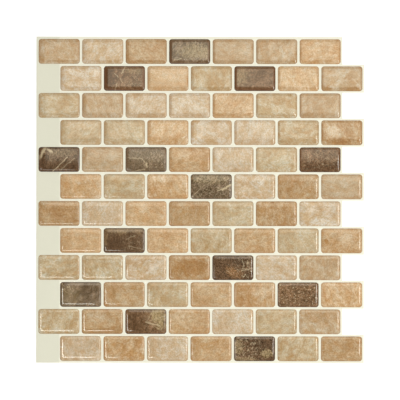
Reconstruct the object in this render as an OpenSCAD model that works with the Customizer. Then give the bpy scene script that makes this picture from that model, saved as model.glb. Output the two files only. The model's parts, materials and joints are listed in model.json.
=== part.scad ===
// Peel-and-stick backsplash sheet: rows of small gel-domed bricks on a stepped sheet of printed vinyl.
// It lies face up: X runs to the right along the rows, Y runs up the wall, and Z points out of the wall.
// The origin is the middle of the sheet's length and height, on the back of the release liner.
// Rows are counted from the top and columns from the left, both from 1.

/* [Gel tile] */
// Length of one gel tile, along its row
tile_l = 38.3; // [25:0.1:60]
// Height of one gel tile, up the wall
tile_h = 23.1; // [15:0.1:40]
// How far the gel stands off the vinyl
dome_h = 1.4; // [0.8:0.1:2.4]
// Width of the gel's rounded shoulder, from the tile's rim to its flat top
shoulder_w = 2.5; // [1.5:0.1:4]
// Radius of the corners of the flat top, seen from the front
top_corner_r = 0.2; // [0.1:0.1:3]

/* [Layout] */
// Number of rows
row_count = 12; // [2:1:16]
// Number of tiles in a row
column_count = 7; // [2:1:10]
// Width of the joint between two tiles of one row
joint_w = 2.2; // [1.5:0.1:5]
// Width of the joint between two rows
bed_w = 2.05; // [1.5:0.05:5]

/* [Sheet] */
// Vinyl to the left of the first tile of an odd row
margin_left = 2; // [0.5:0.1:6]
// Vinyl above the top row
margin_top = 2.2; // [0.5:0.1:6]
// Vinyl below the bottom row
margin_bottom = 1.8; // [0.5:0.1:6]
// Gap between this sheet's cut edge and the tiles of the sheet that interlocks with it
fit_gap = 0.55; // [0.2:0.05:1.2]
// Thickness of the printed vinyl with its adhesive
vinyl_t = 0.35; // [0.2:0.05:1]
// Thickness of the release liner
liner_t = 0.15; // [0.1:0.05:0.5]

/* [Hidden] */
// The gel's shoulder is one arc, level where it meets the flat top
shoulder_arc_r = (shoulder_w * shoulder_w + dome_h * dome_h) / (2 * dome_h);
arc_steps = 96;
// Seen from the front, the shoulder is as wide round the corners as along the sides
corner_r = top_corner_r + shoulder_w;

column_pitch = tile_l + joint_w;
row_pitch = tile_h + bed_w;

// Even rows are moved half a pitch to the right, for the running bond
row_shift = column_pitch / 2;
row_l = column_count * column_pitch - joint_w;

// The cut edges at the right stop short of the next sheet's tiles
margin_right = joint_w - fit_gap;
tooth_margin = bed_w - fit_gap;

sheet_l = margin_left + row_l + row_shift + margin_right;
sheet_h = margin_top + row_count * row_pitch - bed_w + margin_bottom;
left_x = -sheet_l / 2;
tooth_x = sheet_l / 2;
short_x = tooth_x - row_shift;
top_y = sheet_h / 2;
bottom_y = -sheet_h / 2;
vinyl_top_z = liner_t + vinyl_t;

// The tiles' prints from the top row down: b for beige, h for honey, d for dark brown; a larger sheet repeats them
PRINTS = [
    "bbhdbbh",
    "bdhbdhb",
    "bbbbhbb",
    "bbhbbbh",
    "dbdhbbd",
    "hbhdbhb",
    "hbhhbhb",
    "hdhbhbh",
    "bbbhdbb",
    "dhbhhdh",
    "bhdhbbb",
    "bhbhdbh",
];

TONES = ["beige", "honey", "dark"];
tone_colours = [[0.77, 0.68, 0.54], [0.75, 0.60, 0.42], [0.47, 0.37, 0.26]];
vinyl_colour = [0.92, 0.90, 0.82];
liner_colour = [0.90, 0.90, 0.88];

function is_even(row) = row % 2 == 0;
function repeated(items, number) = items[(number - 1) % len(items)];
function tone_of(row, column) =
    let (letter = repeated(repeated(PRINTS, row), column))
    [for (tone = TONES) if (tone[0] == letter) tone][0];
function columns_of(tone, row) = [for (c = [1:column_count]) if (tone_of(row, c) == tone) c];
function row_name(tone, row) = str(tone, "_tiles_row_", row < 10 ? "0" : "", row);

// Middle of a gel tile
function tile_x(row, column) =
    left_x + margin_left + (is_even(row) ? row_shift : 0) + (column - 1) * column_pitch + tile_l / 2;
function tile_y(row) = top_y - margin_top - tile_h / 2 - (row - 1) * row_pitch;

// Right-hand edge round one tooth, from its lower to its upper corner; the lowest tooth ends at the sheet's bottom
function tooth_low_y(row) = row == row_count ? bottom_y : tile_y(row) - tile_h / 2 - tooth_margin;
function tooth_high_y(row) = tile_y(row) + tile_h / 2 + tooth_margin;
function tooth_edge(row) = concat(
    row == row_count ? [] : [[short_x, tooth_low_y(row)]],
    [[tooth_x, tooth_low_y(row)], [tooth_x, tooth_high_y(row)], [short_x, tooth_high_y(row)]]
);

// Die-cut outline of the vinyl and of its liner: straight at the left, a tooth at the right in each even row
module sheet_outline() {
    polygon(concat(
        [[left_x, top_y], [left_x, bottom_y]],
        is_even(row_count) ? [] : [[short_x, bottom_y]],
        [for (row = [row_count:-1:1]) if (is_even(row)) each tooth_edge(row)],
        [[short_x, top_y]]
    ));
}

module release_liner() {
    color(liner_colour)
        linear_extrude(height = liner_t)
            sheet_outline();
}

module vinyl_sheet() {
    color(vinyl_colour)
        translate([0, 0, liner_t])
            linear_extrude(height = vinyl_t)
                sheet_outline();
}

// Half section of the gel beside a corner's axis: flat on top, then the shoulder's arc down to the rim
module rim_section() {
    square([top_corner_r, dome_h]);
    translate([top_corner_r, 0])
        intersection() {
            translate([0, dome_h - shoulder_arc_r])
                circle(r = shoulder_arc_r, $fn = arc_steps);
            square([shoulder_w, dome_h]);
        }
}

// Full section of the gel across a tile of the given width
module full_section(width) {
    core_w = width - 2 * corner_r;
    translate([-core_w / 2, 0])
        square([core_w, dome_h]);
    for (side = [0, 1])
        mirror([side, 0])
            translate([core_w / 2, 0])
                rim_section();
}

// A poured gel lens: surface tension rounds it down to the vinyl on all sides and round the corners
module gel_tile() {
    straight_l = tile_l - 2 * corner_r;
    straight_h = tile_h - 2 * corner_r;
    rotate([90, 0, 0])
        translate([0, 0, -straight_h / 2])
            linear_extrude(height = straight_h)
                full_section(tile_l);
    rotate([90, 0, 90])
        translate([0, 0, -straight_l / 2])
            linear_extrude(height = straight_l)
                full_section(tile_h);
    for (corner = [0:3]) {
        x_side = corner == 0 || corner == 3 ? 1 : -1;
        y_side = corner < 2 ? 1 : -1;
        translate([x_side * straight_l / 2, y_side * straight_h / 2, 0])
            rotate([0, 0, 90 * corner])
                rotate_extrude(angle = 90, $fn = arc_steps)
                    rim_section();
    }
}

// The gel tiles of one tone in one row
module row_tiles(tone, row) {
    color(tone_colours[search([tone], TONES)[0]])
        for (column = columns_of(tone, row))
            translate([tile_x(row, column), tile_y(row), vinyl_top_z])
                gel_tile();
}

release_liner();
vinyl_sheet();
for (row = [1:row_count], tone = TONES)
    row_tiles(tone, row);
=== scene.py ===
# Dresses a peel-and-stick backsplash sheet: gel-domed bricks over stone prints, ivory vinyl and paper liner.
# Lengths are in metres, and every piece's place comes from the frame.

import json
import math
import random
from types import SimpleNamespace

import bmesh
import bpy
from bpy.props import EnumProperty, FloatProperty, FloatVectorProperty, IntProperty, PointerProperty
from mathutils import Matrix, Vector

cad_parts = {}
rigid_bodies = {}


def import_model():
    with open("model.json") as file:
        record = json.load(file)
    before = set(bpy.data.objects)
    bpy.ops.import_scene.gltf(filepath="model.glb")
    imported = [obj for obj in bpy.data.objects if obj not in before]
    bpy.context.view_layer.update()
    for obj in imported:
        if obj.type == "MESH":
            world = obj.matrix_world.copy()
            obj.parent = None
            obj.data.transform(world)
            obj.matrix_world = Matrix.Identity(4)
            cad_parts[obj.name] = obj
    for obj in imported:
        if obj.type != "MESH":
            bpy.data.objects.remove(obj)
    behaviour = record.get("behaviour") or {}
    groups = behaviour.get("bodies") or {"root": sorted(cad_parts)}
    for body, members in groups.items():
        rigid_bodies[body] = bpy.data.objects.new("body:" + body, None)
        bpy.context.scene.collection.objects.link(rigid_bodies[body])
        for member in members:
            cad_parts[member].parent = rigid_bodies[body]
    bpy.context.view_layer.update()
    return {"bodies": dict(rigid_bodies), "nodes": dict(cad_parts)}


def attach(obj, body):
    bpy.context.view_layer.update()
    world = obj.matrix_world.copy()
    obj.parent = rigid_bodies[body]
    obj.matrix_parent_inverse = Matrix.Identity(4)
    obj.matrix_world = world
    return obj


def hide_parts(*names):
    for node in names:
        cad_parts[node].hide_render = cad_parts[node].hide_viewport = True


bl_info = {
    "name": "Gel Tile Backsplash Sheet",
    "version": (1, 0, 0),
    "blender": (4, 5, 0),
    "location": "3D View > Sidebar > Backsplash",
    "description": "Gel-domed stone-print bricks on an ivory vinyl sheet, with a plain studio",
    "category": "Object",
}

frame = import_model()

MM = 0.001
BODY = next(iter(frame["bodies"]))
TONES = ("beige", "honey", "dark")


# Tiles as the frame has them

def tile_boxes(node):
    """Lowest and highest corner of each gel tile in one CAD node."""
    work = bmesh.new()
    work.from_mesh(frame["nodes"][node].data)
    bmesh.ops.remove_doubles(work, verts=work.verts, dist=0.01 * MM)
    left = set(work.verts)
    boxes = []
    while left:
        island = set()
        waiting = [left.pop()]
        while waiting:
            vert = waiting.pop()
            island.add(vert)
            for edge in vert.link_edges:
                other = edge.other_vert(vert)
                if other in left:
                    left.discard(other)
                    waiting.append(other)
        boxes.append([Vector([pick(v.co[i] for v in island) for i in range(3)]) for pick in (min, max)])
    work.free()
    return boxes


def tile_nodes():
    """{node: (tone, row)} for every CAD node that holds gel tiles."""
    found = {}
    for node in sorted(frame["nodes"]):
        tone, _, rest = node.partition("_tiles_row_")
        if tone in TONES and rest.isdigit():
            found[node] = (tone, int(rest))
    return found


def tile_places():
    """{node: [(row, column, low corner, high corner)]}, with columns counted from the left of each row."""
    nodes = tile_nodes()
    places = {node: [] for node in nodes}
    for row in sorted({row for _, row in nodes.values()}):
        in_row = [(*box, node) for node in nodes if nodes[node][1] == row for box in tile_boxes(node)]
        in_row.sort(key=lambda tile: tile[0].x)
        for column, (low, high, node) in enumerate(in_row, start=1):
            places[node].append((row, column, low, high))
    return places


PLACES = tile_places()
FIRST_LOW, FIRST_HIGH = next(iter(PLACES.values()))[0][2:]
TILE_SIZE = FIRST_HIGH - FIRST_LOW

# Rings of a gel tile's mesh: how far in from the rim, in millimetres, then in shares of the way to the middle
RING_INSETS = (0, 0.2, 0.45, 0.7, 1.0, 1.3, 1.6, 1.9, 2.2, 2.5, 2.9, 3.4, 4.0, 4.8, 5.8)
TOP_SINKS = (0.35, 0.7, 1)
# Share of its inset by which a ring's corners are rounder than the rim's
RING_ROUNDING = 0.45


# Prints

# Colours of each tone's prints. Which one a print takes, and how strongly its clouds and washes stand out
# from it, is drawn at random from a fixed seed
SWATCHES = {
    "beige": ((200, 180, 150), (190, 170, 135), (185, 160, 125)),
    "honey": ((200, 170, 130), (190, 160, 120), (180, 150, 110)),
    "dark": ((120, 100, 75), (120, 90, 60), (100, 75, 50)),
}
CONTRAST_RANGE = (0.7, 1.3)
DRAW_SEED = 100

# How each tone is printed: size of its clouds, tints of its shades and lights, strength of its mottles,
# flecks and grain, how far its grain leans to blue, tint of its dark washes, and the painted shade along its
# gel's edge: strength of the darker fold and flanks, their tint, and strength and tint of the darker rim
# line, which is partly the print's border and partly painted shade
LIGHT_PRINT = {
    "patch size": 9 * MM, "shade": (0.88, 0.77, 0.62), "light": (1.10, 1.16, 1.26), "mottles": 0.5,
    "flecks": 0.45, "grain": 0.18, "lean": (0.6, 1, 1.5), "dark wash": (0.80, 0.64, 0.45), "fold_shade": 0.3,
    "flank_shade": 0.32, "edge shade tint": (0.70, 0.53, 0.38), "rim": 0.4, "rim shade tint": (0.56, 0.43, 0.32),
}
PRINTS = {
    "beige": LIGHT_PRINT,
    "honey": {**LIGHT_PRINT, "mottles": 0.75, "flecks": 0.6, "grain": 0.22},
    "dark": {
        "patch size": 6 * MM, "shade": (0.62, 0.58, 0.50), "light": (1.32, 1.39, 1.52), "mottles": 0.5,
        "flecks": 0.45, "grain": 0.8, "lean": (0.95, 1, 1.25), "dark wash": (0.5, 0.45, 0.4), "fold_shade": 0.6,
        "flank_shade": 0.8, "edge shade tint": (0.72, 0.50, 0.34), "rim": 0.75, "rim shade tint": (0.46, 0.34, 0.25),
    },
}

# Markings of single prints by (row, column). Places and reaches run from -1 to 1 across and up the tile:
# patch (across, up, radius in tile heights, strength of its crackle, strength of its speckle), the grain's
# share, how warm the pale washes are, washes (across, up, reach across, reach up, paler or darker), and
# veins (from across, from up, to across, to up, strength, width in millimetres)
PLAIN = {"patch": (0, 0, 3, 0, 0), "grain": 1, "warmth": 0, "washes": (), "veins": ()}
MOST_MARKS = 4
MARKINGS = {
    (1, 3): {"washes": ((0.3, 0.4, 0.5, 0.4, -0.3),)},
    (1, 4): {
        "patch": (0.4, -0.9, 0.8, 0.5, 0.5), "grain": 0.5,
        "washes": ((0.3, 0, 0.8, 0.6, 0.35), (-0.95, 0, 0.15, 1, -0.4), (-0.3, 0.95, 0.9, 0.15, -0.4)),
        "veins": (
            (0.29, 1, 0.26, 0.1, 0.35, 0.4), (0.26, 0.1, 0.05, -0.5, 0.3, 0.4),
            (-0.85, -0.8, -0.4, -0.55, 0.6, 0.4),
        ),
    },
    (2, 2): {
        "patch": (0.6, -0.4, 0.4, 0.5, 0.5), "grain": 0.5,
        "washes": ((-0.85, -0.1, 0.5, 1.1, -0.7), (0.5, 0.6, 0.5, 0.25, 0.25)),
        "veins": (
            (0.05, 1, -0.12, 0.4, 0.8, 0.5), (-0.5, 0.4, -0.3, 0.1, 0.7, 0.3),
            (-0.2, 0, -0.1, -0.35, 0.6, 0.35), (-0.38, -0.4, -0.45, -1, 0.5, 0.6),
        ),
    },
    (2, 3): {"washes": ((-0.4, -0.5, 0.5, 0.4, -0.35), (0.3, 0.4, 0.6, 0.4, 0.25))},
    (2, 5): {
        "patch": (-0.7, 0.1, 0.6, 0.2, 0.3), "grain": 0.35,
        "washes": ((-0.75, 0.2, 0.45, 0.7, 0.35), (0.2, -0.95, 1, 0.2, -0.4)),
    },
    (2, 7): {
        "washes": ((-0.85, -0.85, 0.35, 0.3, -0.9), (0.5, -0.85, 0.5, 0.25, -0.9)),
        "veins": ((0.5, 0, 0.95, -0.7, 0.4, 0.5),),
    },
    (3, 3): {"washes": ((-0.5, 0.9, 0.22, 0.35, -1), (0.1, -0.85, 0.8, 0.2, -0.5))},
    (4, 1): {"washes": ((0, 0.6, 0.9, 0.4, 0.4), (0.5, -0.5, 0.5, 0.4, -0.5))},
    (4, 2): {"washes": ((0.7, 0.75, 0.3, 0.3, -0.7), (-0.3, -0.2, 0.5, 0.5, 0.2))},
    (4, 7): {
        "patch": (-0.4, 0.1, 0.5, 0.3, 0.5),
        "washes": ((-0.4, 0.1, 0.4, 0.5, 0.25), (-0.1, -0.65, 0.6, 0.3, -0.8), (0.35, 0.1, 0.3, 0.4, -0.6)),
    },
    (5, 1): {
        "patch": (0, 0.6, 0.6, 0.4, 0.4), "grain": 0.8,
        "washes": (
            (0.15, 0.55, 0.7, 0.35, 0.2), (-0.65, -0.45, 0.45, 0.6, -0.4), (0.6, -0.5, 0.3, 0.3, -0.6),
        ),
        "veins": (
            (-0.65, 1, -0.98, 0.05, 0.9, 1.3), (0.42, 0.2, -0.3, -1, 0.9, 0.35),
            (0.75, 0.1, 0.1, -0.8, 0.45, 0.4), (-0.55, 0.85, -0.35, 0.6, 0.9, 1.1),
        ),
    },
    (5, 3): {
        "patch": (0.8, -0.6, 0.7, 0.4, 0.7), "grain": 0.6,
        "washes": ((0, 0.2, 1, 0.5, 0.12), (0, -0.9, 1.1, 0.25, -0.45)),
        "veins": (
            (-0.9, 0.15, -0.2, 0.05, 0.5, 0.35), (-0.2, 0.05, 0.05, -0.45, 0.6, 0.35),
            (0.02, -0.3, 0.05, -0.6, 1, 0.7), (-0.9, -1, -0.05, -0.8, 0.6, 0.6),
        ),
    },
    (5, 6): {"patch": (0.3, 0.1, 0.5, 0, 0.4), "washes": ((0.1, 0.9, 0.25, 0.15, -0.7),)},
    (5, 7): {
        "patch": (-0.1, -0.6, 0.9, 0.5, 0.3), "grain": 0.6,
        "washes": ((0, -0.7, 1.2, 0.6, -0.6),),
    },
    (6, 2): {"washes": ((0, -0.6, 0.5, 0.35, -0.6), (-0.6, 0.4, 0.4, 0.4, -0.25))},
    (6, 3): {
        "washes": ((-0.3, -0.2, 0.6, 0.5, -0.5), (0, -0.85, 1, 0.25, -0.7), (-0.3, 0.65, 0.7, 0.25, 0.15)),
    },
    (6, 4): {
        "patch": (0, -0.5, 0.9, 0.5, 0.5), "grain": 0.75,
        "washes": ((-0.1, 0.7, 1.1, 0.45, 0.4), (0, -0.5, 1.1, 0.55, -0.4), (-0.1, 0, 0.5, 0.2, -0.2)),
        "veins": (
            (1, 0.2, 0.55, -0.25, 1, 0.9), (0.62, -0.15, 0.3, -0.35, 0.8, 0.5),
            (0.62, -0.3, 0.3, -0.05, 0.4, 0.4), (-0.35, 0.1, -0.95, -0.9, 0.4, 0.5),
        ),
    },
    (6, 5): {"washes": ((-0.5, -0.3, 0.5, 0.4, 0.25), (0.4, -0.7, 0.5, 0.25, -0.35))},
    (7, 1): {
        "washes": (
            (-0.35, 0.25, 0.7, 0.2, -0.6), (-0.1, -0.12, 0.35, 0.18, -0.7), (0.75, -0.5, 0.3, 0.2, -0.5),
            (0, 0.85, 1, 0.2, 0.2),
        ),
    },
    (7, 6): {"patch": (0.1, 0.3, 0.4, 0.3, 0)},
    (8, 1): {"washes": ((0.1, 0.35, 0.6, 0.35, -0.4), (-0.6, -0.2, 0.3, 0.3, -0.3))},
    (8, 2): {
        "patch": (0.6, -0.3, 0.6, 0.35, 0.2), "grain": 0.45, "warmth": 0.3,
        "washes": (
            (-0.45, -0.3, 0.5, 0.5, -0.6), (0, 0.85, 1.1, 0.35, 0.5), (-0.95, 0.2, 0.15, 0.8, 0.4),
            (0.3, 0.45, 0.2, 0.3, -0.8),
        ),
        "veins": ((0.2, -0.45, 0.9, -0.7, 0.3, 0.5), (0.1, 0.1, 0.55, 0.4, 0.3, 0.5)),
    },
    (8, 7): {"washes": ((-0.75, 0, 0.12, 0.2, -1), (0.3, 0.2, 0.5, 0.5, 0.2))},
    (9, 4): {"washes": ((0.2, 0, 0.9, 0.7, -0.6),)},
    (9, 5): {
        "patch": (0.6, 0.1, 0.6, 1, 0.4), "grain": 0.9, "warmth": 1,
        "washes": (
            (-0.1, -0.25, 0.25, 0.35, 0.45), (0.15, -0.55, 0.3, 0.35, 0.35), (0.25, 0.5, 0.4, 0.35, -0.6),
            (0.8, -0.6, 0.3, 0.4, -0.5),
        ),
        "veins": (
            (-0.3, -0.2, -0.05, -0.55, 0.5, 0.4), (0.45, 0.6, 0.55, 0.1, 0.5, 0.5),
            (0.6, -0.15, 0.95, -0.05, 0.6, 0.6),
        ),
    },
    (10, 1): {
        "patch": (-0.8, 0.9, 0.45, 1, 1), "grain": 0.3,
        "washes": ((-0.5, -0.1, 0.6, 0.8, 0.15), (0.25, 0.2, 0.3, 0.8, -0.3), (-0.8, 0.85, 0.3, 0.25, -0.5)),
    },
    (10, 4): {"washes": ((-0.7, -0.6, 0.4, 0.4, -0.6),)},
    (10, 5): {"washes": ((-0.7, -0.5, 0.35, 0.4, -0.6), (0.3, 0.3, 0.6, 0.5, 0.2))},
    (10, 6): {"patch": (0, 0, 3, 0.25, 1.3), "grain": 0.7},
    (11, 1): {
        "washes": ((-0.5, 0.1, 0.2, 0.6, -0.35), (0.45, -0.2, 0.3, 0.5, -0.35), (0, -0.95, 1, 0.15, -0.4)),
    },
    (11, 2): {"washes": ((0, -0.75, 0.8, 0.3, -0.5), (-0.2, 0.3, 0.5, 0.4, 0.2))},
    (11, 3): {
        "patch": (0.7, 0.2, 0.7, 0.5, 0.4), "grain": 0.45,
        "washes": ((-0.45, 0, 0.6, 1.2, -0.35), (0.65, 0.45, 0.42, 0.7, 0.75), (0.8, -0.3, 0.4, 0.3, 0.45)),
        "veins": (
            (0, -0.02, 0.7, -0.35, 0.7, 0.6), (0.1, -0.1, 0.9, -0.85, 0.3, 0.4),
            (0.05, 0, 0.35, 0.9, 0.4, 0.4), (0.1, 0, 1, 0.5, 0.4, 0.5),
        ),
    },
    (11, 4): {"veins": ((-0.8, 0.6, -0.1, -0.5, 0.3, 1.2), (0, -0.8, 0.5, 0.6, 0.15, 1))},
    (12, 2): {
        "washes": ((-0.9, 0, 0.15, 0.6, -0.6), (0.05, 0.2, 0.15, 0.5, -0.45), (0.75, 0.3, 0.25, 0.6, -0.35)),
    },
    (12, 5): {
        "patch": (-0.6, 0, 0.9, 0.9, 0.6), "grain": 0.8,
        "washes": (
            (-0.8, 0.2, 0.25, 0.6, 0.5), (0.6, -0.35, 0.3, 0.35, 0.65), (-0.5, -0.85, 0.5, 0.2, 0.4),
            (0.15, 0.35, 0.4, 0.5, -0.6),
        ),
    },
}


# Settings

def linear(colour):
    """Scene-linear colour from one given in 0 to 255 steps, as a swatch book has it."""
    steps = [c / 255 for c in colour]
    return tuple(s / 12.92 if s <= 0.04045 else ((s + 0.055) / 1.055) ** 2.4 for s in steps)


def colour_setting(name, description, swatch):
    return FloatVectorProperty(
        name=name, description=description, subtype="COLOR", size=3, min=0, max=1, default=linear(swatch)
    )


def length_setting(name, description, millimetres):
    return FloatProperty(
        name=name, description=description, subtype="DISTANCE", unit="LENGTH", precision=5,
        min=0, default=millimetres * MM,
    )


def factor_setting(name, description, default):
    return FloatProperty(name=name, description=description, subtype="FACTOR", min=0, max=1, default=default)


class GelSettings(bpy.types.PropertyGroup):
    """Shape and gloss of the poured gel tiles"""

    corner_radius: length_setting("Corner Radius", "Radius of a tile's corners, seen from the front", 2.7)
    rise: length_setting("Rise", "How far in from its rim the gel has risen by two thirds", 1.6)
    corner_reach: length_setting("Corner Reach", "How far the corners' rounding reaches into the tile", 0.8)
    corner_steps: IntProperty(name="Corner Steps", description="Faces round each corner", min=3, default=10)
    side_steps: IntProperty(name="Side Steps", description="Faces along each side", min=4, default=14)
    thickness_spread: factor_setting("Thickness Spread", "How much thinner the thinnest tile is poured", 0.04)
    coat_roughness: factor_setting("Coat Roughness", "Roughness of the gel's skin", 0.085)


class PrintSettings(bpy.types.PropertyGroup):
    """Colours that the printed stones share"""

    light_wash: colour_setting("Light Wash", "Pale washes in the light prints", (226, 208, 178))
    light_vein: colour_setting("Light Vein", "Pale veins and flecks in the light prints", (228, 208, 176))
    dark_wash: colour_setting("Dark Wash", "Pale washes in the dark prints", (168, 146, 104))
    warm_wash: colour_setting("Warm Wash", "Pale washes in the warmer dark prints", (176, 128, 80))
    dark_vein: colour_setting("Dark Vein", "Pale veins and flecks in the dark prints", (206, 186, 148))


class SheetSettings(bpy.types.PropertyGroup):
    """Colours of the vinyl and its liner"""

    joint: colour_setting("Joints", "Ivory of the joints between the tiles", (236, 233, 213))
    strip: colour_setting("Landing Strips", "Ivory of the bare strips at the left", (222, 220, 199))
    liner: colour_setting("Liner", "Coated paper of the release liner", (236, 236, 232))


class StudioSettings(bpy.types.PropertyGroup):
    """Camera, floor and lights"""

    view_width: length_setting("View Width", "Width of the floor that the picture shows", 372.6)
    camera_height: length_setting("Camera Height", "Height of the camera over the floor", 1600)
    camera_shift: FloatVectorProperty(
        name="Camera Shift", description="How far the camera stands off the sheet's middle",
        subtype="TRANSLATION", unit="LENGTH", size=2, precision=5, default=(-0.16 * MM, -0.11 * MM),
    )
    camera_turn: FloatProperty(
        name="Camera Turn", description="How far the camera is turned about its own axis", subtype="ANGLE",
        unit="ROTATION", default=math.radians(0.083),
    )
    fill: FloatProperty(name="Fill", description="Strength of the light from all round", min=0, default=0.62)
    floor: colour_setting("Floor", "Colour of the floor", (250, 250, 250))


# Shader helpers

def place(tree, kind, links=None, **settings):
    """A node with its settings, and its inputs linked from sockets or set to values."""
    node = tree.nodes.new(kind)
    for key, value in settings.items():
        setattr(node, key, value)
    for key, value in (links or {}).items():
        if isinstance(value, bpy.types.NodeSocket):
            tree.links.new(value, node.inputs[key])
        else:
            node.inputs[key].default_value = value
    return node


def maths(tree, operation, first, second=0.0, third=0.0, clamp=False):
    """Result of one sum on numbers."""
    values = {0: first, 1: second, 2: third}
    return place(tree, "ShaderNodeMath", values, operation=operation, use_clamp=clamp).outputs[0]


def times(tree, first, second, clamp=False):
    return maths(tree, "MULTIPLY", first, second, clamp=clamp)


def vector_maths(tree, operation, first, second=(0, 0, 0), output=0):
    """Result of one sum on vectors; where it is a number, the output is Value."""
    return place(tree, "ShaderNodeVectorMath", {0: first, 1: second}, operation=operation).outputs[output]


def scaled(tree, vector, amount):
    return place(tree, "ShaderNodeVectorMath", {0: vector, "Scale": amount}, operation="SCALE").outputs[0]


def flat(tree, vector):
    """The vector without its Z."""
    return vector_maths(tree, "MULTIPLY", vector, (1, 1, 0))


def split(tree, vector):
    """The vector's X, Y and Z."""
    return place(tree, "ShaderNodeSeparateXYZ", {"Vector": vector}).outputs


def between(tree, value, low, high, out_low=0.0, out_high=1.0, smooth=True):
    """value taken from low..high to out_low..out_high, held at the ends."""
    node = place(
        tree, "ShaderNodeMapRange",
        {"Value": value, "From Min": low, "From Max": high, "To Min": out_low, "To Max": out_high},
        interpolation_type="SMOOTHSTEP" if smooth else "LINEAR",
    )
    return node.outputs["Result"]


def noise(tree, vector, scale, detail, seed=None, **more):
    """A noise texture's outputs, in a slice of its own where a seed is given."""
    links = {"Vector": vector, "Scale": scale, "Detail": detail, **more}
    if seed is not None:
        links["W"] = seed
    return place(tree, "ShaderNodeTexNoise", links, noise_dimensions="3D" if seed is None else "4D").outputs


def blend(tree, factor, first, second, mode="MIX", clamp=True):
    """Two colours mixed; without clamp, a factor over 1 goes past the second."""
    node = place(tree, "ShaderNodeMix", data_type="RGBA", blend_type=mode, clamp_factor=clamp)
    for index, value in ((0, factor), (6, first), (7, second)):
        if isinstance(value, bpy.types.NodeSocket):
            tree.links.new(value, node.inputs[index])
        elif index and len(value) == 3:
            node.inputs[index].default_value = (*value, 1)
        else:
            node.inputs[index].default_value = value
    return node.outputs[2]


def tinted(tree, colour, tint):
    """The colour times a tint."""
    return blend(tree, 1.0, colour, tint, "MULTIPLY")


def attribute(tree, name, output="Vector"):
    return place(tree, "ShaderNodeAttribute", attribute_name=name).outputs[output]


def new_material(name, finish):
    """A material with only a Principled BSDF, with the finish's values, and its output."""
    material = bpy.data.materials.new(name)
    material.use_nodes = True
    tree = material.node_tree
    tree.nodes.clear()
    shader = place(tree, "ShaderNodeBsdfPrincipled", finish)
    place(tree, "ShaderNodeOutputMaterial", {0: shader.outputs[0]})
    return material, tree, shader


def add_bump(tree, shader, height, strength, distance):
    bump = place(tree, "ShaderNodeBump", {"Height": height, "Strength": strength, "Distance": distance})
    tree.links.new(bump.outputs[0], shader.inputs["Normal"])


# Shader groups

def start_group(name, inputs):
    """A new shader group and its input sockets: a number where a default is given, and otherwise a vector."""
    group = bpy.data.node_groups.new(name, "ShaderNodeTree")
    for socket_name, default in inputs.items():
        kind = "NodeSocketVector" if default is None else "NodeSocketFloat"
        socket = group.interface.new_socket(socket_name, in_out="INPUT", socket_type=kind)
        if default is not None:
            socket.default_value = default
    return group, group.nodes.new("NodeGroupInput").outputs


def finish_group(group, masks):
    """Put each mask out under its name."""
    for name in masks:
        group.interface.new_socket(name, in_out="OUTPUT", socket_type="NodeSocketFloat")
    place(group, "NodeGroupOutput", masks)


def use_group(tree, name, links):
    return place(tree, "ShaderNodeGroup", links, node_tree=bpy.data.node_groups[name]).outputs


def stone_clouds():
    """Group: mottling and grain of a printed stone, cut from its slab at an angle of its own."""
    group, start = start_group("Stone Clouds", {"Vector": None, "Seed": 0.0, "Patch Size": 9 * MM})
    per_patch = maths(group, "DIVIDE", 1.0, start["Patch Size"])
    seed = start["Seed"]
    turned = place(
        group, "ShaderNodeVectorRotate", {"Vector": start["Vector"], "Angle": times(group, seed, 2.4)},
        rotation_type="Z_AXIS",
    )
    vector = vector_maths(group, "MULTIPLY", turned.outputs[0], (0.85, 1.2, 1))

    def patches(size):
        """Scale of a noise whose size is given in tenths of a patch."""
        return times(group, per_patch, 10 / size)

    def layer(shift, scale, detail, roughness, distortion=0.0):
        finish = {"Roughness": roughness, "Distortion": distortion}
        return noise(group, vector, scale, detail, maths(group, "ADD", seed, shift), **finish)["Fac"]

    # The last numbers of each line are the range of the noise that becomes the mask
    thread = maths(group, "SUBTRACT", layer(5.7, patches(5.9), 3.0, 0.6, 0.4), 0.5)
    finish_group(group, {
        "Clouds": between(group, layer(0.0, patches(10), 5.0, 0.7, 0.8), 0.37, 0.63),
        "Mottles": between(group, layer(7.3, patches(3.8), 4.0, 0.7, 0.5), 0.5, 0.64),
        "Grain": between(group, layer(3.1, 1 / (1.15 * MM), 1.0, 0.6), 0.34, 0.66, smooth=False),
        "Threads": between(group, maths(group, "ABSOLUTE", thread), 0.0, 0.03, 1.0, 0.0),
        "Drift": between(group, layer(11.9, patches(25), 2.0, 0.5, 0.3), 0.33, 0.67),
        "Flecks": between(group, layer(17.1, patches(2.4), 3.0, 0.8, 0.3), 0.57, 0.66),
        "Hue": between(group, layer(23.7, patches(5), 2.0, 0.6, 0.5), 0.35, 0.65, smooth=False),
    })


def gel_edge_shade():
    """Group: masks for the shade painted along a gel tile's edge where the gel bends the light, by how far
    inside the rim a point is and which side it faces.
    """
    group, start = start_group("Gel Edge", {"Inset": 0.0, "Facing": None})
    inset = start["Inset"]
    facing = split(group, start["Facing"])

    def fading(near, far):
        """1 from the rim to near and 0 from far inwards, both in millimetres."""
        return between(group, inset, near * MM, far * MM, 1.0, 0.0)

    down = between(group, facing["Y"], -0.3, -0.95)
    left = between(group, facing["X"], -0.3, -0.95)
    right = between(group, facing["X"], 0.3, 0.95, 0.0, 0.7)
    band = times(group, between(group, inset, 1.2 * MM, 2.2 * MM), fading(2.6, 3.8))
    # Painted shade: a band on the bottom shoulder, bands on the left and right shoulders, the whole shoulder,
    # and a line at the rim that is partly the print's border
    finish_group(group, {
        "Rim": fading(0.15, 0.75),
        "Fold": times(group, down, band),
        "Flank": times(group, maths(group, "ADD", left, right), fading(1.4, 3.0)),
        "Shoulder": fading(1.2, 3.6),
    })


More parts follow.
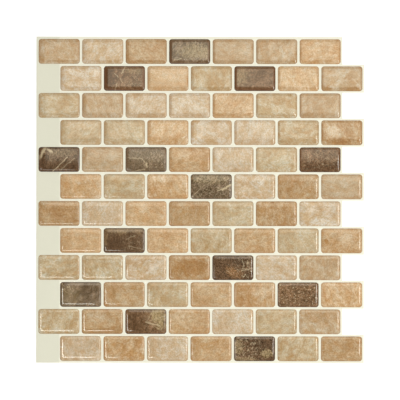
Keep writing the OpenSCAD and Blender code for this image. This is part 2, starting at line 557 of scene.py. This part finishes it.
def stone_vein():
    """Group: how near a point is to a vein between two points, whose Z carry its strength and width."""
    group, start = start_group("Stone Vein", {"Vector": None, "From": None, "To": None})
    smallest = 1e-9
    near_end = flat(group, start["From"])
    strength = split(group, start["From"])["Z"]
    width = split(group, start["To"])["Z"]
    run = vector_maths(group, "SUBTRACT", flat(group, start["To"]), near_end)
    offset = vector_maths(group, "SUBTRACT", start["Vector"], near_end)
    square = maths(group, "MAXIMUM", vector_maths(group, "DOT_PRODUCT", run, run, "Value"), smallest)
    along = vector_maths(group, "DOT_PRODUCT", offset, run, "Value")
    share = maths(group, "DIVIDE", along, square, clamp=True)
    aside = vector_maths(group, "SUBTRACT", offset, scaled(group, run, share))
    gap = vector_maths(group, "LENGTH", aside, output="Value")
    gap = maths(group, "DIVIDE", gap, maths(group, "MAXIMUM", width, smallest))
    finish_group(group, {"Fac": times(group, between(group, gap, 0.3, 1.6, 1.0, 0.0), strength)})


def stone_wash():
    """Group: a ragged oval wash of stone; its middle's Z carries how much paler it is, below zero darker."""
    group, start = start_group("Stone Wash", {"Vector": None, "Ragged": 0.5, "Middle": None, "Reach": None})
    amount = split(group, start["Middle"])["Z"]
    offset = vector_maths(group, "SUBTRACT", start["Vector"], flat(group, start["Middle"]))
    share = vector_maths(group, "DIVIDE", offset, start["Reach"])
    ragged = times(group, maths(group, "SUBTRACT", start["Ragged"], 0.5), 2.2)
    gap = maths(group, "ADD", vector_maths(group, "LENGTH", share, output="Value"), ragged)
    inside = between(group, gap, 0.55, 1.25, 1.0, 0.0)
    finish_group(group, {
        "Pale": times(group, inside, amount, clamp=True),
        "Dark": times(group, inside, times(group, amount, -1.0), clamp=True),
    })


def stone_markings():
    """Group: crackle and speckle inside a patch of the print, whose Z carries its radius."""
    inputs = {"Vector": None, "Seed": 0.0, "Patch": None, "Amounts": None}
    group, start = start_group("Stone Markings", inputs)
    vector, seed = start["Vector"], start["Seed"]
    amounts = split(group, start["Amounts"])
    wander = noise(group, vector, 260.0, 3.0, seed)
    gap = vector_maths(group, "DISTANCE", vector, flat(group, start["Patch"]), "Value")
    gap = maths(group, "DIVIDE", gap, split(group, start["Patch"])["Z"])
    gap = maths(group, "ADD", gap, times(group, wander["Fac"], 1.2))
    inside = between(group, gap, 1.1, 1.9, 1.0, 0.0)
    bent = vector_maths(group, "ADD", vector, scaled(group, wander["Color"], 5 * MM))
    cells = place(
        group, "ShaderNodeTexVoronoi", {"Vector": bent, "W": seed, "Scale": 380.0},
        voronoi_dimensions="4D", feature="DISTANCE_TO_EDGE",
    )
    cracks = between(group, cells.outputs["Distance"], 0.0, 0.07, 1.0, 0.0)
    broken = between(group, noise(group, vector, 330.0, 2.0, seed)["Fac"], 0.47, 0.60)
    crackle = times(group, times(group, cracks, broken), amounts["X"])
    flecks = noise(group, vector, 500.0, 3.0, seed, Roughness=0.7)["Fac"]
    speckle = times(group, between(group, flecks, 0.57, 0.65), amounts["Y"])
    finish_group(group, {"Fac": times(group, inside, maths(group, "MAXIMUM", crackle, speckle), clamp=True)})


# Gel tiles

def gel_height(x, y, gel):
    """Height of the gel over the vinyl: like any small pool, it rises steeply from its rim and levels out."""

    def risen(gap):
        return 1 - math.exp(-(gap + gel.corner_reach) / gel.rise)

    rim = risen(0)
    inside = risen(TILE_SIZE.x / 2 - abs(x)) * risen(TILE_SIZE.y / 2 - abs(y))
    return TILE_SIZE.z * max(0, inside - rim) / (1 - rim)


def gel_ring(inset, gel):
    """(point, outward direction) round the tile, this far in from its rim, with more near the corners."""
    radius = gel.corner_radius + RING_ROUNDING * inset
    core_x, core_y = TILE_SIZE.x / 2 - inset - radius, TILE_SIZE.y / 2 - inset - radius
    out = []
    for quarter in range(4):
        turn = math.radians(90 * quarter)
        across = Vector((math.cos(turn), math.sin(turn), 0))
        along = Vector((-math.sin(turn), math.cos(turn), 0))
        reach, half_side = (core_y, core_x) if quarter % 2 else (core_x, core_y)
        for step in range(1, gel.side_steps):
            share = math.sin(math.pi * (step / gel.side_steps - 0.5))
            out.append((across * (reach + radius) + along * half_side * share, across))
        for step in range(gel.corner_steps + 1):
            angle = math.radians(90 * step / gel.corner_steps)
            facing = across * math.cos(angle) + along * math.sin(angle)
            out.append((across * reach + along * half_side + facing * radius, facing))
    return out


def gel_lens(gel):
    """One gel tile about the origin, standing on Z = 0: rings from its rim to a ridge in the middle."""
    spine = (TILE_SIZE.x - TILE_SIZE.y) / 2
    work = bmesh.new()
    inset_layer = work.verts.layers.float.new("inset")
    facing_layer = work.verts.layers.float_vector.new("facing")
    loops = []

    def add_loop(points, inset):
        loop = []
        for point, facing in points:
            z = gel_height(point.x, point.y, gel) if inset else 0
            vert = work.verts.new((point.x, point.y, z))
            vert[inset_layer] = inset
            vert[facing_layer] = facing
            loop.append(vert)
        loops.append(loop)

    for inset in RING_INSETS:
        add_loop(gel_ring(inset * MM, gel), inset * MM)
    last = gel_ring(RING_INSETS[-1] * MM, gel)
    for sink in TOP_SINKS:
        points = []
        for point, facing in last:
            middle = Vector((max(-spine, min(spine, point.x)), 0, 0))
            points.append((point.lerp(middle, sink), facing))
        add_loop(points, RING_INSETS[-1] * MM + sink * TILE_SIZE.y / 4)
    for outer, inner in zip(loops, loops[1:]):
        for i in range(len(outer)):
            j = (i + 1) % len(outer)
            work.faces.new((outer[i], outer[j], inner[j], inner[i])).smooth = True
    bottom = work.faces.new(list(reversed(loops[0])))
    for edge in bottom.edges:
        edge.smooth = False
    bmesh.ops.remove_doubles(work, verts=work.verts, dist=0.002 * MM)
    mesh = bpy.data.meshes.new("gel_lens")
    work.to_mesh(mesh)
    work.free()
    return bpy.data.objects.new("gel_lens", mesh)


def pour_tree():
    """Geometry Nodes: a gel lens poured on every point, each a little thinner than the next, or thicker."""
    tree = bpy.data.node_groups.new("Pour Gel Tiles", "GeometryNodeTree")
    tree.is_modifier = True
    inputs = {"Geometry": "Geometry", "Lens": "Object", "Thickness Spread": "Float", "Seed": "Int"}
    for name, kind in (*inputs.items(), ("Material", "Material")):
        tree.interface.new_socket(name, in_out="INPUT", socket_type=f"NodeSocket{kind}")
    tree.interface.new_socket("Geometry", in_out="OUTPUT", socket_type="NodeSocketGeometry")
    start = tree.nodes.new("NodeGroupInput").outputs
    lens = place(tree, "GeometryNodeObjectInfo", {"Object": start["Lens"]}).outputs["Geometry"]
    thinnest = maths(tree, "SUBTRACT", 1.0, start["Thickness Spread"])
    spread = place(
        tree, "FunctionNodeRandomValue", {2: thinnest, 3: 1.0, "Seed": start["Seed"]}, data_type="FLOAT"
    )
    scale = place(tree, "ShaderNodeCombineXYZ", {"X": 1.0, "Y": 1.0, "Z": spread.outputs[1]})
    poured = place(
        tree, "GeometryNodeInstanceOnPoints",
        {"Points": start["Geometry"], "Instance": lens, "Scale": scale.outputs[0]},
    )
    solid = place(tree, "GeometryNodeRealizeInstances", {"Geometry": poured.outputs["Instances"]})
    coloured = place(
        tree, "GeometryNodeSetMaterial",
        {"Geometry": solid.outputs["Geometry"], "Material": start["Material"]},
    )
    place(tree, "NodeGroupOutput", {"Geometry": coloured.outputs["Geometry"]})


def set_input(modifier, name, value):
    """A Geometry Nodes modifier's input, found by its name and set by its identifier."""
    for item in modifier.node_group.interface.items_tree:
        if item.item_type == "SOCKET" and item.in_out == "INPUT" and item.name == name:
            modifier[item.identifier] = value
            return
    raise ValueError(f"{modifier.node_group.name} has no input named {name}")


def print_values(tone, row, column, low, high):
    """What one tile's print needs: its vectors, its numbers and its colour, each by name."""
    marks = {**PLAIN, **MARKINGS.get((row, column), {})}
    half = TILE_SIZE / 2
    across, up, radius, crackle, speckle = marks["patch"]
    vectors = {
        "centre": (low + high) / 2,
        "patch": (across * half.x, up * half.y, radius * TILE_SIZE.y),
        "amounts": (crackle, speckle, marks["grain"]),
    }
    for i in range(MOST_MARKS):
        for kind in ("vein_from", "vein_to", "wash"):
            vectors[f"{kind}_{i}"] = (0, 0, 0)
        vectors[f"reach_{i}"] = (1, 1, 1)
    for i, (x0, y0, x1, y1, strength, width) in enumerate(marks["veins"]):
        vectors[f"vein_from_{i}"] = (x0 * half.x, y0 * half.y, strength)
        vectors[f"vein_to_{i}"] = (x1 * half.x, y1 * half.y, width * MM)
    for i, (x, y, reach_x, reach_y, amount) in enumerate(marks["washes"]):
        vectors[f"wash_{i}"] = (x * half.x, y * half.y, amount)
        vectors[f"reach_{i}"] = (reach_x * half.x, reach_y * half.y, 1)
    draw = random.Random(DRAW_SEED * row + column)
    colour = draw.choice(SWATCHES[tone])
    numbers = {
        "print_seed": 3.7 * row + 1.9 * column,
        "warmth": marks["warmth"],
        "contrast": draw.uniform(*CONTRAST_RANGE),
    }
    return vectors, numbers, (*linear(colour), 1)


def tile_points(tone, places):
    """A mesh of one point for each tile, with what its print needs as attributes."""
    name = f"{tone}_gel_points"
    mesh = bpy.data.meshes.new(name)
    feet = [((low.x + high.x) / 2, (low.y + high.y) / 2, low.z) for _, _, low, high in places]
    mesh.from_pydata(feet, [], [])
    prints = [print_values(tone, *tile) for tile in places]
    vectors, numbers, _ = prints[0]
    for kind, keys in (("FLOAT_VECTOR", vectors), ("FLOAT", numbers), ("FLOAT_COLOR", ["swatch"])):
        for key in keys:
            mesh.attributes.new(key, kind, "POINT")
    for i, (vectors, numbers, colour) in enumerate(prints):
        for key, value in vectors.items():
            mesh.attributes[key].data[i].vector = value
        for key, value in numbers.items():
            mesh.attributes[key].data[i].value = value
        mesh.attributes["swatch"].data[i].color = colour
    return bpy.data.objects.new(name, mesh)


# Print and gel

def print_sockets(tree, look):
    """What the steps of a print's material share: where a point is, straight and bent, and its own stone."""
    where = place(tree, "ShaderNodeTexCoord").outputs["Object"]
    seed = attribute(tree, "print_seed", "Fac")
    straight = flat(tree, vector_maths(tree, "SUBTRACT", where, attribute(tree, "centre")))
    wander = noise(tree, where, 420.0, 3.0, seed)
    shift = scaled(tree, vector_maths(tree, "SUBTRACT", wander["Color"], (0.5, 0.5, 0.5)), 3.2 * MM)
    return SimpleNamespace(
        where=where,
        seed=seed,
        straight=straight,
        bent=flat(tree, vector_maths(tree, "ADD", straight, shift)),
        ragged=wander["Fac"],
        swatch=attribute(tree, "swatch", "Color"),
        stone=use_group(tree, "Stone Clouds", {
            "Vector": straight, "Seed": seed, "Patch Size": look["patch size"],
        }),
    )


def clouded(tree, look, at):
    """The swatch with its clouds, mottles, threads and flecks."""
    ochre = tinted(tree, at.swatch, (0.88, 0.76, 0.60))
    rust = tinted(tree, at.swatch, (0.80, 0.64, 0.45))
    light = tinted(tree, at.swatch, look["light"])
    ground = blend(tree, at.stone["Clouds"], tinted(tree, at.swatch, look["shade"]), light)
    ground = blend(tree, times(tree, at.stone["Mottles"], look["mottles"]), ground, ochre)
    ground = blend(tree, times(tree, at.stone["Threads"], 0.2), ground, light)
    return blend(tree, times(tree, at.stone["Flecks"], look["flecks"]), ground, rust)


def washed(tree, look, at, ground, pale):
    """Ragged washes of paler and darker stone."""
    deep = tinted(tree, at.swatch, look["dark wash"])
    for i in range(MOST_MARKS):
        wash = use_group(tree, "Stone Wash", {
            "Vector": at.bent, "Ragged": at.ragged,
            "Middle": attribute(tree, f"wash_{i}"), "Reach": attribute(tree, f"reach_{i}"),
        })
        ground = blend(tree, wash["Pale"], ground, pale)
        ground = blend(tree, wash["Dark"], ground, deep)
    return ground


def grained(tree, look, at, ground):
    """Slow drift and fine grain, which vary most in blue, and clouds of a warmer and a cooler hue."""
    share = split(tree, attribute(tree, "amounts"))["Z"]
    grain = maths(tree, "ADD", times(tree, maths(tree, "SUBTRACT", at.stone["Grain"], 0.5), share), 0.5)
    for detail, amount in ((at.stone["Drift"], 0.1), (grain, look["grain"])):
        low, high = ([1 + side * amount * k for k in look["lean"]] for side in (-1, 1))
        ground = tinted(tree, ground, blend(tree, detail, low, high))
    return tinted(tree, ground, blend(tree, at.stone["Hue"], (1.045, 1, 0.95), (0.955, 1, 1.05)))


def streaked(tree, at, ground):
    """Faint level streaks."""
    combed = vector_maths(tree, "MULTIPLY", at.straight, (1, 5, 1))
    streaks = between(tree, noise(tree, combed, 90.0, 4.0, at.seed, Roughness=0.7)["Fac"], 0.35, 0.65)
    return tinted(tree, ground, blend(tree, streaks, (0.975, 0.955, 0.92), (1.02, 1.04, 1.08)))


def marked(tree, at, ground, pale):
    """Pale crackle, speckle and veins."""
    marks = use_group(tree, "Stone Markings", {
        "Vector": at.straight, "Seed": at.seed,
        "Patch": attribute(tree, "patch"), "Amounts": attribute(tree, "amounts"),
    })["Fac"]
    for i in range(MOST_MARKS):
        vein = use_group(tree, "Stone Vein", {
            "Vector": at.bent,
            "From": attribute(tree, f"vein_from_{i}"), "To": attribute(tree, f"vein_to_{i}"),
        })
        marks = maths(tree, "MAXIMUM", marks, vein["Fac"])
    return blend(tree, times(tree, marks, 0.85), ground, pale)


def edged(tree, look, at, ground, dark):
    """Painted shade along the gel's edge where the gel bends the light: darker bands on the bottom and side
    shoulders that fade down the sheet, a darker shoulder, on light prints in the rust of their stains, and a
    darker line round the rim that is partly the print's border.
    """
    around = {"Inset": attribute(tree, "inset", "Fac"), "Facing": attribute(tree, "facing")}
    edge = use_group(tree, "Gel Edge", around)
    # Painted shade is strongest in the upper rows: 1 from 90 mm above the sheet's middle, fading to 0 at the
    # middle and below
    high = between(tree, split(tree, at.where)["Y"], 0.0, 90 * MM)
    deep = tinted(tree, at.swatch, look["edge shade tint"])
    uneven = between(tree, at.stone["Clouds"], 1, 0, 0.3, 1)
    # Painted shade on the bottom shoulder, uneven with the clouds, and on the side shoulders
    fold_shade = times(tree, edge["Fold"], times(tree, high, uneven))
    ground = blend(tree, times(tree, fold_shade, look["fold_shade"]), ground, deep)
    ground = blend(tree, times(tree, times(tree, edge["Flank"], high), look["flank_shade"]), ground, deep)
    if dark:
        # Painted shade over the whole shoulder of a dark print, deeper up the sheet
        shoulder = times(tree, edge["Shoulder"], maths(tree, "MULTIPLY_ADD", high, 0.35, 0.15))
        ground = blend(tree, shoulder, ground, deep)
    else:
        # Rust along the shoulder of a light print: partly the print's stains, partly painted shade
        shoulder_rust_and_shade = maths(tree, "MAXIMUM", at.stone["Mottles"], at.stone["Threads"])
        shoulder_rust_and_shade = times(tree, times(tree, edge["Shoulder"], shoulder_rust_and_shade), 0.4)
        ground = blend(tree, shoulder_rust_and_shade, ground, tinted(tree, at.swatch, (0.86, 0.63, 0.46)))
    # Darker line round the rim: partly the print's border, partly painted shade
    rim = times(tree, edge["Rim"], look["rim"])
    return blend(tree, rim, ground, tinted(tree, at.swatch, look["rim shade tint"]))


def gel_material(tone, gel, prints):
    """Gloss clear gel over one tone of stone print."""
    material, tree, shader = new_material(f"{tone}_gel", {
        "Roughness": 0.5, "Specular IOR Level": 0.1, "IOR": 1.5,
        "Coat Weight": 1.0, "Coat Roughness": gel.coat_roughness, "Coat IOR": 1.5,
    })
    look = PRINTS[tone]
    at = print_sockets(tree, look)
    dark = tone == "dark"
    if dark:
        pale = blend(tree, attribute(tree, "warmth", "Fac"), tuple(prints.dark_wash), tuple(prints.warm_wash))
    else:
        pale = tuple(prints.light_wash)
    ground = washed(tree, look, at, clouded(tree, look, at), pale)
    ground = blend(tree, attribute(tree, "contrast", "Fac"), at.swatch, ground, clamp=False)
    ground = grained(tree, look, at, ground)
    if not dark:
        ground = streaked(tree, at, ground)
    ground = marked(tree, at, ground, tuple(prints.dark_vein if dark else prints.light_vein))
    # The print, with painted shade along the gel's edge
    tree.links.new(edged(tree, look, at, ground, dark), shader.inputs["Base Color"])
    add_bump(tree, shader, noise(tree, at.where, 45.0, 1.0, at.seed)["Fac"], 0.1, 0.2 * MM)
    return material


def pour_tiles(tone, gel, prints):
    """One piece for each CAD node of this tone, in its place."""
    material = gel_material(tone, gel, prints)
    lens = gel_lens(gel)
    scene_objects = bpy.context.scene.collection.objects
    for node, (node_tone, row) in tile_nodes().items():
        if node_tone != tone:
            continue
        points = tile_points(tone, PLACES[node])
        scene_objects.link(points)
        pour = points.modifiers.new("Pour", "NODES")
        pour.node_group = bpy.data.node_groups["Pour Gel Tiles"]
        set_input(pour, "Lens", lens)
        set_input(pour, "Thickness Spread", gel.thickness_spread)
        set_input(pour, "Seed", row)
        set_input(pour, "Material", material)
        depsgraph = bpy.context.evaluated_depsgraph_get()
        mesh = bpy.data.meshes.new_from_object(points.evaluated_get(depsgraph))
        mesh.name = f"{tone}_gel_row_{row:02d}"
        points.modifiers.remove(pour)
        bpy.data.objects.remove(points)
        piece = bpy.data.objects.new(mesh.name, mesh)
        scene_objects.link(piece)
        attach(piece, BODY)
        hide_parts(node)
    bpy.data.objects.remove(lens)


# Vinyl and liner

def finish_sheet(node, material, shader, colour, clouds, dimmest, relief, depth):
    """Faint clouds in a sheet's colour and a fine relief on it; the material goes on its CAD node."""
    tree = material.node_tree
    tint = between(tree, clouds["Fac"], 0.3, 0.7, dimmest, 1.0)
    grey = place(tree, "ShaderNodeCombineColor", {0: tint, 1: tint, 2: tint}).outputs[0]
    tree.links.new(tinted(tree, colour, grey), shader.inputs["Base Color"])
    add_bump(tree, shader, relief["Fac"], 0.3, depth)
    mesh = frame["nodes"][node].data
    mesh.materials.clear()
    mesh.materials.append(material)


# Studio

WHITE = (1, 1, 1)
# Colour of the lamps whose highlights run along the gel's shoulders
PEARL = (0.95, 0.98, 0.93)
LAMP_HEIGHT = 0.63
# Lamps that only the gloss mirrors, at LAMP_HEIGHT: centre and aim as seen from above, direction of the first
# side, size, radiance, spread in degrees and colour
GLOSS_LAMPS = {
    "soft box": ((0.16, 0.218), (0.16, 0.218), (1, 0), (0.76, 0.333), 2.3, 180, (1, 0.92, 0.74)),
    "brow": ((0, 0.27), (0, -0.1), (1, 0), (0.56, 0.12), 1.8, 34, WHITE),
    "back panel": ((0.16, 0.55), (0.16, -0.13), (1, 0), (0.76, 0.33), 1.9, 32, (0.96, 1, 0.86)),
    "low strip": ((-0.2, -0.335), (-0.15, -0.08), (1, 0), (0.18, 0.07), 15, 34, PEARL),
    "left strip": ((-0.445, -0.165), (-0.14, -0.13), (0, 1), (0.15, 0.085), 15, 30, PEARL),
    "left haze": ((-0.445, -0.17), (0.05, -0.13), (0, 1), (0.15, 0.14), 4, 80, PEARL),
    "corner strip": ((-0.365, -0.28), (-0.13, -0.14), (0.15, -0.11), (0.19, 0.085), 20, 34, PEARL),
    "right strip": ((0.47, -0.085), (0.1, -0.085), (0, 1), (0.31, 0.11), 13, 80, PEARL),
}

# What the gloss mirrors beyond the lamps: the ceiling, and what the walls add, more at the top and right
CEILING_GLOSS = 0.06
WALL_GLOSS = 0.28
WALL_GLOSS_UP = 0.05
WALL_GLOSS_RIGHT = 0.04

FLOOR_REACH = 8
FLOOR_DROP = 0.05 * MM
CAMERA_CLIP = 100


def add_camera(scene, studio):
    """A camera straight over the sheet."""
    lens_data = bpy.data.cameras.new("camera")
    lens_data.lens = lens_data.sensor_width * studio.camera_height / studio.view_width
    lens_data.clip_end = CAMERA_CLIP
    camera = bpy.data.objects.new("camera", lens_data)
    camera.location = (*studio.camera_shift, studio.camera_height)
    camera.rotation_euler = (0, 0, studio.camera_turn)
    scene.collection.objects.link(camera)
    scene.camera = camera


def add_surroundings(scene, studio):
    """White to the camera, a plain fill to the sheet, and a dim ceiling with paler walls to its gloss."""
    world = bpy.data.worlds.new("studio")
    scene.world = world
    world.use_nodes = True
    tree = world.node_tree
    tree.nodes.clear()
    path = place(tree, "ShaderNodeLightPath").outputs
    way = split(tree, place(tree, "ShaderNodeTexCoord").outputs["Generated"])
    walls = maths(tree, "ADD", WALL_GLOSS, times(tree, way["Y"], WALL_GLOSS_UP))
    walls = maths(tree, "ADD", walls, times(tree, way["X"], WALL_GLOSS_RIGHT))
    low = between(tree, way["Z"], 0.75, 0.97, 1.0, 0.0)
    gloss = maths(tree, "ADD", times(tree, low, walls), CEILING_GLOSS)
    strength = place(tree, "ShaderNodeMix", {0: path["Is Glossy Ray"], 2: studio.fill, 3: gloss}).outputs[0]
    strength = maths(tree, "MAXIMUM", path["Is Camera Ray"], strength)
    sky = blend(tree, path["Is Glossy Ray"], WHITE, (1, 0.95, 0.84))
    back = place(tree, "ShaderNodeBackground", {"Color": sky, "Strength": strength})
    place(tree, "ShaderNodeOutputWorld", {0: back.outputs[0]})


def add_floor(scene, studio):
    """A plain floor just under the liner, a little brighter to the camera alone."""
    mesh = bpy.data.meshes.new("floor")
    corners = [(x * FLOOR_REACH, y * FLOOR_REACH, 0) for x, y in ((-1, -1), (1, -1), (1, 1), (-1, 1))]
    mesh.from_pydata(corners, [], [(0, 1, 2, 3)])
    floor = bpy.data.objects.new("floor", mesh)
    floor.location = (0, 0, -FLOOR_DROP)
    scene.collection.objects.link(floor)
    material, tree, shader = new_material("floor", {
        "Base Color": (*studio.floor, 1), "Roughness": 0.9, "Specular IOR Level": 0.0,
        "Emission Color": (*WHITE, 1),
    })
    path = place(tree, "ShaderNodeLightPath").outputs
    tree.links.new(times(tree, path["Is Camera Ray"], 0.2), shader.inputs["Emission Strength"])
    mesh.materials.append(material)


def add_lamp(name, centre, aim, along, size, radiance, spread=180, colour=WHITE, seen_in="gloss"):
    """A rectangular lamp that shines from centre towards aim, its first side along a direction."""
    lamp = bpy.data.lights.new(name, "AREA")
    lamp.shape = "RECTANGLE"
    lamp.size, lamp.size_y = size
    lamp.spread = math.radians(spread)
    lamp.color = colour
    half = math.radians(spread) / 2
    gathered = 1 if spread == 180 else math.tan(half) / (math.tan(half) - half)
    lamp.energy = radiance * math.pi * size[0] * size[1] / gathered
    out = (Vector(centre) - Vector(aim)).normalized()
    side = Vector(along) - out * out.dot(Vector(along))
    side.normalize()
    turn = Matrix((side, out.cross(side), out)).transposed()
    obj = bpy.data.objects.new(name, lamp)
    obj.matrix_world = Matrix.Translation(centre) @ turn.to_4x4()
    obj.visible_camera = False
    obj.visible_diffuse = seen_in == "diffuse"
    obj.visible_glossy = seen_in == "gloss"
    bpy.context.scene.collection.objects.link(obj)


# Operators and panel

class BACKSPLASH_OT_stage(bpy.types.Operator):
    """Set up the camera, the floor and the light"""

    bl_idname = "backsplash.stage"
    bl_label = "Stage"

    def execute(self, context):
        scene = context.scene
        studio = scene.backsplash_studio
        add_camera(scene, studio)
        add_surroundings(scene, studio)
        add_floor(scene, studio)
        add_lamp("key", (0.6, -0.2, 1.3), (0, 0, 0), (0, 1, 0), (1.2, 1.2), 2.9, seen_in="diffuse")
        for name, (centre, aim, along, size, radiance, spread, colour) in GLOSS_LAMPS.items():
            add_lamp(name, (*centre, LAMP_HEIGHT), (*aim, 0), (*along, 0), size, radiance, spread, colour)
        scene.view_settings.view_transform = "Standard"
        return {"FINISHED"}


class BACKSPLASH_OT_shared_nodes(bpy.types.Operator):
    """Build the node groups that the pieces share"""

    bl_idname = "backsplash.shared_nodes"
    bl_label = "Shared Nodes"

    def execute(self, context):
        for build in (stone_clouds, gel_edge_shade, stone_vein, stone_wash, stone_markings, pour_tree):
            build()
        return {"FINISHED"}


class BACKSPLASH_OT_release_liner(bpy.types.Operator):
    """Finish the paper release liner"""

    bl_idname = "backsplash.release_liner"
    bl_label = "Release Liner"

    def execute(self, context):
        material, tree, shader = new_material("liner_paper", {"Roughness": 0.4})
        where = place(tree, "ShaderNodeTexCoord").outputs["Object"]
        colour = tuple(context.scene.backsplash_sheet.liner)
        clouds = noise(tree, where, 60.0, 3.0)
        fibres = noise(tree, where, 900.0, 6.0, Roughness=0.7)
        finish_sheet("release_liner", material, shader, colour, clouds, 0.96, fibres, 0.03 * MM)
        return {"FINISHED"}


class BACKSPLASH_OT_vinyl_sheet(bpy.types.Operator):
    """Finish the ivory vinyl sheet"""

    bl_idname = "backsplash.vinyl_sheet"
    bl_label = "Vinyl Sheet"

    def execute(self, context):
        sheet = context.scene.backsplash_sheet
        finish = {"Roughness": 0.6, "Specular IOR Level": 0.15}
        material, tree, shader = new_material("ivory_vinyl", finish)
        where = place(tree, "ShaderNodeTexCoord").outputs["Object"]
        strip_end = min(low.x for _, _, low, _ in PLACES["beige_tiles_row_02"])
        joint = between(tree, split(tree, where)["X"], strip_end - 1.5 * MM, strip_end)
        colour = blend(tree, joint, tuple(sheet.strip), tuple(sheet.joint))
        clouds = noise(tree, where, 40.0, 4.0)
        grain = noise(tree, where, 2600.0, 2.0)
        finish_sheet("vinyl_sheet", material, shader, colour, clouds, 0.985, grain, 0.05 * MM)
        return {"FINISHED"}


class BACKSPLASH_OT_gel_tiles(bpy.types.Operator):
    """Pour the gel tiles of one tone of print"""

    bl_idname = "backsplash.gel_tiles"
    bl_label = "Gel Tiles"
    tone: EnumProperty(name="Tone", description="Which prints", items=[(t, t.title(), "") for t in TONES])

    def execute(self, context):
        scene = context.scene
        pour_tiles(self.tone, scene.backsplash_gel, scene.backsplash_print)
        return {"FINISHED"}


class BACKSPLASH_PT_panel(bpy.types.Panel):
    """Pieces of the backsplash sheet"""

    bl_idname = "BACKSPLASH_PT_panel"
    bl_label = "Backsplash Sheet"
    bl_space_type = "VIEW_3D"
    bl_region_type = "UI"
    bl_category = "Backsplash"

    def draw(self, context):
        layout = self.layout
        for group, settings in SETTINGS.items():
            box = layout.box()
            box.label(text=settings.__doc__)
            for name in settings.__annotations__:
                box.prop(getattr(context.scene, group), name)
        for operator in OPERATORS:
            layout.operator(operator.bl_idname)


SETTINGS = {
    "backsplash_gel": GelSettings,
    "backsplash_print": PrintSettings,
    "backsplash_sheet": SheetSettings,
    "backsplash_studio": StudioSettings,
}
OPERATORS = (
    BACKSPLASH_OT_stage,
    BACKSPLASH_OT_shared_nodes,
    BACKSPLASH_OT_release_liner,
    BACKSPLASH_OT_vinyl_sheet,
    BACKSPLASH_OT_gel_tiles,
)
CLASSES = (*SETTINGS.values(), *OPERATORS, BACKSPLASH_PT_panel)


def register():
    for cls in CLASSES:
        bpy.utils.register_class(cls)
    for group, settings in SETTINGS.items():
        setattr(bpy.types.Scene, group, PointerProperty(type=settings))


def unregister():
    for group in SETTINGS:
        delattr(bpy.types.Scene, group)
    for cls in reversed(CLASSES):
        bpy.utils.unregister_class(cls)


def main():
    register()
    bpy.ops.backsplash.stage()
    bpy.ops.backsplash.shared_nodes()
    bpy.ops.backsplash.release_liner()
    bpy.ops.backsplash.vinyl_sheet()
    for tone in TONES:
        bpy.ops.backsplash.gel_tiles(tone=tone)


if __name__ == "__main__":
    main()
